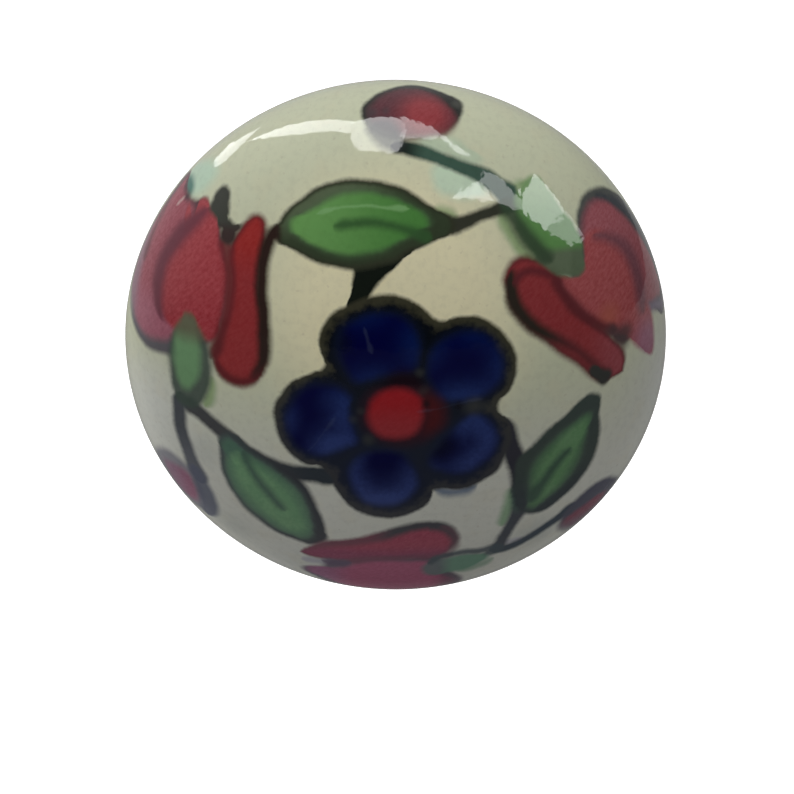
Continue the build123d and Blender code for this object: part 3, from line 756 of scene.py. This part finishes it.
mesh = turned([(hex_flat_radius, anchor_top), (hex_corner_radius, anchor_top + hex_chamfer_height),
               (hex_corner_radius, anchor_bottom), (thread_radius, anchor_bottom), (thread_radius, collar_top),
               (hex_corner_radius, collar_top), (hex_corner_radius, collar_bottom - hex_chamfer_height),
               (hex_flat_radius, collar_bottom)], 96)
for y in (anchor_top, collar_bottom):
    chosen(mesh, edges=lambda edge: all(abs(mesh.vertices[i].co.y - y) < 1e-7 for i in edge.vertices))
    bpy.ops.mesh.edge_face_add()
bpy.ops.mesh.select_all(action="SELECT")
bpy.ops.mesh.normals_make_consistent()
for flat_side in range(6):
    bpy.ops.mesh.select_all(action="SELECT")
    facing = Vector((cos(radians(60 * flat_side)), 0, sin(radians(60 * flat_side))))
    bpy.ops.mesh.bisect(plane_co=facing * hex_flat_radius, plane_no=facing, use_fill=True, clear_outer=True,
                        threshold=1e-7)
stud = named("threaded_stud")

# The thread: root, flank, crest and flank of one pitch, drawn from a point and wound along the rod.
bpy.ops.object.select_all(action="DESELECT")
bpy.ops.mesh.primitive_plane_add(size=0.001)
bpy.ops.object.mode_set(mode="EDIT")
bpy.ops.mesh.select_mode(type="VERT")
bpy.ops.mesh.select_all(action="SELECT")
bpy.ops.mesh.merge(type="CENTER")
bpy.ops.transform.translate(value=(thread_root_radius, collar_bottom - 2 * thread_pitch, 0))
thread_depth = thread_radius - thread_root_radius
for rise, share in ((0, 0.125), (thread_depth, 0.34), (0, 0.195), (-thread_depth, 0.34)):
    bpy.ops.mesh.extrude_region_move(TRANSFORM_OT_translate={"value": (rise, share * thread_pitch, 0)})
bpy.ops.object.mode_set(mode="OBJECT")
rod = bpy.context.active_object
winding = rod.modifiers.new("winding", "SCREW")
winding.axis = "Y"
winding.screw_offset = thread_pitch
winding.iterations = thread_turns
winding.steps = winding.render_steps = 48
bpy.ops.object.modifier_apply(modifier="winding")
bpy.ops.object.mode_set(mode="EDIT")
bpy.ops.mesh.select_all(action="SELECT")
bpy.ops.mesh.remove_doubles(threshold=1e-6)
for y, way in ((collar_bottom - thread_overlap, -1), (stud_reach, 1)):
    bpy.ops.mesh.select_all(action="SELECT")
    bpy.ops.mesh.bisect(plane_co=(0, y, 0), plane_no=(0, way, 0), use_fill=True, clear_outer=True, threshold=1e-7)
bpy.ops.mesh.select_all(action="SELECT")
bpy.ops.mesh.normals_make_consistent()
named("thread")
for vertex in rod.data.vertices:
    reach = hypot(vertex.co.x, vertex.co.z)
    most = thread_radius - max(0, vertex.co.y - (stud_reach - tip_chamfer))
    if reach > most:
        vertex.co.x *= most / reach
        vertex.co.z *= most / reach

bpy.ops.object.select_all(action="DESELECT")
stud.select_set(True)
bpy.context.view_layer.objects.active = stud
weld = stud.modifiers.new("weld", "BOOLEAN")
weld.operation = "UNION"
weld.object = rod
bpy.ops.object.modifier_apply(modifier="weld")
bpy.data.objects.remove(rod)
bpy.ops.object.shade_smooth_by_angle(angle=radians(28))

zinc, shader, place = finish("zinc_plate")
bloom = place.noise(420, 4, 0.6).spread(0.35, 0.70)
grit = place.noise(3200, 3, 0.6)
feed(shader, "Base Color", bloom.blend((196, 199, 203), (170, 168, 160)))
shader.inputs["Metallic"].default_value = 1.0
feed(shader, "Roughness", bloom * 0.16 + grit * 0.12 + 0.22)
feed(shader, "Normal", grit.bumped(0.15, 0.00003))
dressed(stud, zinc)
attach(stud, "root")
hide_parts("mounting_stud")


# Cement: grey bonding cement, poured round the stud's anchor in the head's socket and left to set.
# Its shape is the socket's own, so the solid stays, with a sandy finish.

cement, shader, place = finish("bonding_cement")
sand = place.noise(2400, 4, 0.7)
damp = place.noise(300, 2, 0.5).spread(0.35, 0.65)
grains = sand.spread(0.3, 0.7) * 0.6 + damp * 0.4
feed(shader, "Base Color", grains.blend((150, 147, 140), (186, 182, 172)))
feed(shader, "Roughness", sand * 0.2 + 0.75)
feed(shader, "Normal", sand.bumped(0.5, 0.0001))
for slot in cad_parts["cement_plug"].material_slots:
    slot.material = cement


# Floor and backdrop: a pale sheet some way under the knob, and a white studio behind it. The glaze
# mirrors them darker than the camera sees them, as it does the photograph's room.

floor_size = 1.6
floor_level = -0.10

bpy.ops.object.select_all(action="DESELECT")
bpy.ops.mesh.primitive_plane_add(size=floor_size, location=(0, 0, floor_level))
bpy.ops.object.mode_set(mode="EDIT")
bpy.ops.mesh.subdivide(number_cuts=4)
floor = named("floor")
pale, shader, place = finish("pale_floor")
path = place.node("ShaderNodeLightPath", {}, {}, "Is Camera Ray")
mirrored = path.beside("Is Glossy Ray").math("MAXIMUM", path.beside("Is Transmission Ray"))
reach = place.vector("LENGTH", output="Value").spread(0.10, 0.45)
rear = place.node("ShaderNodeSeparateXYZ", {}, {0: place}, "Y")
under = place.vector("SUBTRACT", (-0.05, -0.05, 0)).vector("MULTIPLY", (0.7, 2.0, 0))
dim = (rear.spread(-0.15, 0.05, 0.03, 0.09) + reach * rear.spread(-0.05, 0.15, 0.0, 0.24)
       + under.vector("LENGTH", output="Value").spread(0.13, 0.03, 0.0, 0.15))
shader.inputs["Roughness"].default_value = 0.9
shader.inputs["Emission Strength"].default_value = 1.0
feed(shader, "Base Color", path.blend((20, 20, 20), (232, 232, 230)))
feed(shader, "Emission Color", path * 0.8 + mirrored * dim)
floor.data.materials.append(pale)
floor.visible_shadow = False

world = bpy.data.worlds.new("studio")
bpy.context.scene.world = world
world.use_nodes = True
backdrop = world.node_tree.nodes["Background"]
backdrop.inputs["Color"].default_value = (1, 1, 1, 1)
toward = Flow(world.node_tree.nodes.new("ShaderNodeTexCoord").outputs["Generated"])
behind = toward.vector("DOT_PRODUCT", (-0.50, 0.80, 0.33), "Value").spread(0.0, 1.0, 0.012, 0.45)
seen = behind.node("ShaderNodeLightPath", {}, {}, "Is Camera Ray")
feed(backdrop, "Strength", behind.math("MAXIMUM", seen))


# Lamps: soft ones round the knob that light it and don't show in the glaze, and bright window panes
# whose straight-edged reflections lie on it.

def linked(name, data):
    """Puts a lamp or a camera in the scene."""
    holder = bpy.data.objects.new(name, data)
    bpy.context.scene.collection.objects.link(holder)
    return holder


def soft_lamp(name, turn, rise, strength, size=0.35, away=0.9):
    """A lamp at a turn to the right of the front and a rise above the level, in degrees."""
    turn, rise = radians(turn), radians(rise)
    facing = Vector((sin(turn) * cos(rise), -cos(turn) * cos(rise), sin(rise)))
    lamp = bpy.data.lights.new(name, "AREA")
    lamp.shape = "DISK"
    lamp.size = size
    lamp.energy = strength * (pi * away) ** 2
    holder = linked(name, lamp)
    holder.location = facing * away + Vector((0, head_centre, 0))
    holder.rotation_euler = facing.to_track_quat("Z", "Y").to_euler()
    holder.visible_glossy = False


def window(name, strength, *corners):
    """A lit pane of a given radiance, cut to corners that are metres from the head's middle."""
    corners = [Vector(corner) + Vector((0, head_centre, 0)) for corner in corners]
    middle = sum(corners, Vector()) / len(corners)
    facing = (middle - Vector((0, head_centre, 0))).normalized()
    side = facing.orthogonal().normalized()
    turn = Matrix((side, facing.cross(side), facing)).transposed()
    ways = turn.col[0], turn.col[1]
    spans = [[(corner - middle).dot(way) for corner in corners] for way in ways]
    lamp = bpy.data.lights.new(name, "AREA")
    lamp.shape = "RECTANGLE"
    lamp.size, lamp.size_y = (max(span) - min(span) for span in spans)
    lamp.energy = strength * pi * lamp.size * lamp.size_y
    lamp.use_nodes = True
    spot = Flow(lamp.node_tree.nodes.new("ShaderNodeNewGeometry").outputs["Position"])
    inside = None
    for start, end in zip(corners, corners[1:] + corners[:1]):
        inward = facing.cross(end - start).normalized()
        if inward.dot(middle - start) < 0:
            inward.negate()
        reach = spot.vector("DOT_PRODUCT", inward, "Value") - inward.dot(start)
        inside = reach if inside is None else inside.math("MINIMUM", reach)
    edge_blur = 0.008
    feed(lamp.node_tree.nodes["Emission"], "Strength", inside.spread(0, edge_blur))
    holder = linked(name, lamp)
    offset = sum((way * (max(span) + min(span)) / 2 for way, span in zip(ways, spans)), Vector())
    holder.matrix_world = Matrix.Translation(middle + offset) @ turn.to_4x4()
    holder.visible_diffuse = False


soft_lamp("key", -30, 45, 0.584)
soft_lamp("back", 180, 60, 0.185)
soft_lamp("right_fill", 90, 15, 0.266)
soft_lamp("left_rim", -135, -30, 0.923)
soft_lamp("below", 120, -75, 0.396)
window("left_pane", 4.2, (-0.435, 0.35, 0.231), (-0.378, 0.432, 0.183), (-0.313, 0.502, 0.168),
    (-0.379, 0.361, 0.308), (-0.438, 0.318, 0.285))
window("left_sliver", 3.8, (-0.332, 0.471, 0.186), (-0.291, 0.449, 0.276), (-0.343, 0.395, 0.3), (-0.381, 0.365, 0.3))
window("long_pane", 7, (-0.406, 0.424, 0.341), (-0.196, 0.203, 0.534), (-0.133, 0.137, 0.591), (-0.159, 0.013, 0.627),
    (-0.283, 0.136, 0.516), (-0.356, 0.237, 0.439))
window("overhead_pane", 6.5, (-0.148, 0.135, 0.595), (-0.149, 0.012, 0.589), (-0.143, -0.11, 0.584),
    (-0.122, -0.168, 0.583), (-0.012, -0.205, 0.593), (0.022, -0.158, 0.598), (0.035, -0.072, 0.604),
    (0.021, 0.112, 0.611), (-0.037, 0.165, 0.608))
window("overhead_side", 5.2, (0.011, 0.161, 0.604), (0.094, 0.082, 0.592), (0.151, 0.004, 0.584),
    (0.14, -0.04, 0.586), (0.115, -0.069, 0.59), (0.055, -0.077, 0.599), (0.022, -0.073, 0.603))
window("overhead_tail", 6, (0.139, 0.007, 0.591), (0.191, -0.046, 0.567), (0.248, -0.139, 0.537),
    (0.204, -0.123, 0.554), (0.156, -0.059, 0.578))
window("right_triangle", 5.8, (0.177, -0.397, 0.427), (0.266, -0.263, 0.475), (0.329, -0.318, 0.396))
window("right_pane_low", 4.2, (0.296, -0.18, 0.505), (0.337, -0.176, 0.474), (0.4, -0.234, 0.387),
    (0.406, -0.274, 0.357), (0.375, -0.306, 0.364), (0.329, -0.318, 0.395), (0.27, -0.268, 0.474))
window("right_pane_high", 7, (0.399, -0.202, 0.409), (0.459, -0.008, 0.438), (0.533, -0.09, 0.295),
    (0.48, -0.277, 0.261), (0.426, -0.292, 0.323), (0.402, -0.278, 0.363))
window("right_pane_end", 3.7, (0.523, -0.084, 0.297), (0.551, -0.09, 0.228), (0.561, -0.09, 0.203),
    (0.549, -0.146, 0.195), (0.529, -0.215, 0.199), (0.482, -0.276, 0.27))


# Camera: a long lens at the photograph's angle, looking down on the crown.

lens = bpy.data.cameras.new("camera")
lens.lens = 134.6
lens.sensor_width = 36
camera = linked("camera", lens)
camera.location = (0, -0.21935, 0.09284)
aim = Vector((0.0001, -0.02165, -0.00377))
camera.rotation_euler = (aim - camera.location).to_track_quat("-Z", "Y").to_euler()
bpy.context.scene.camera = camera
bpy.context.scene.view_settings.view_transform = "Standard"
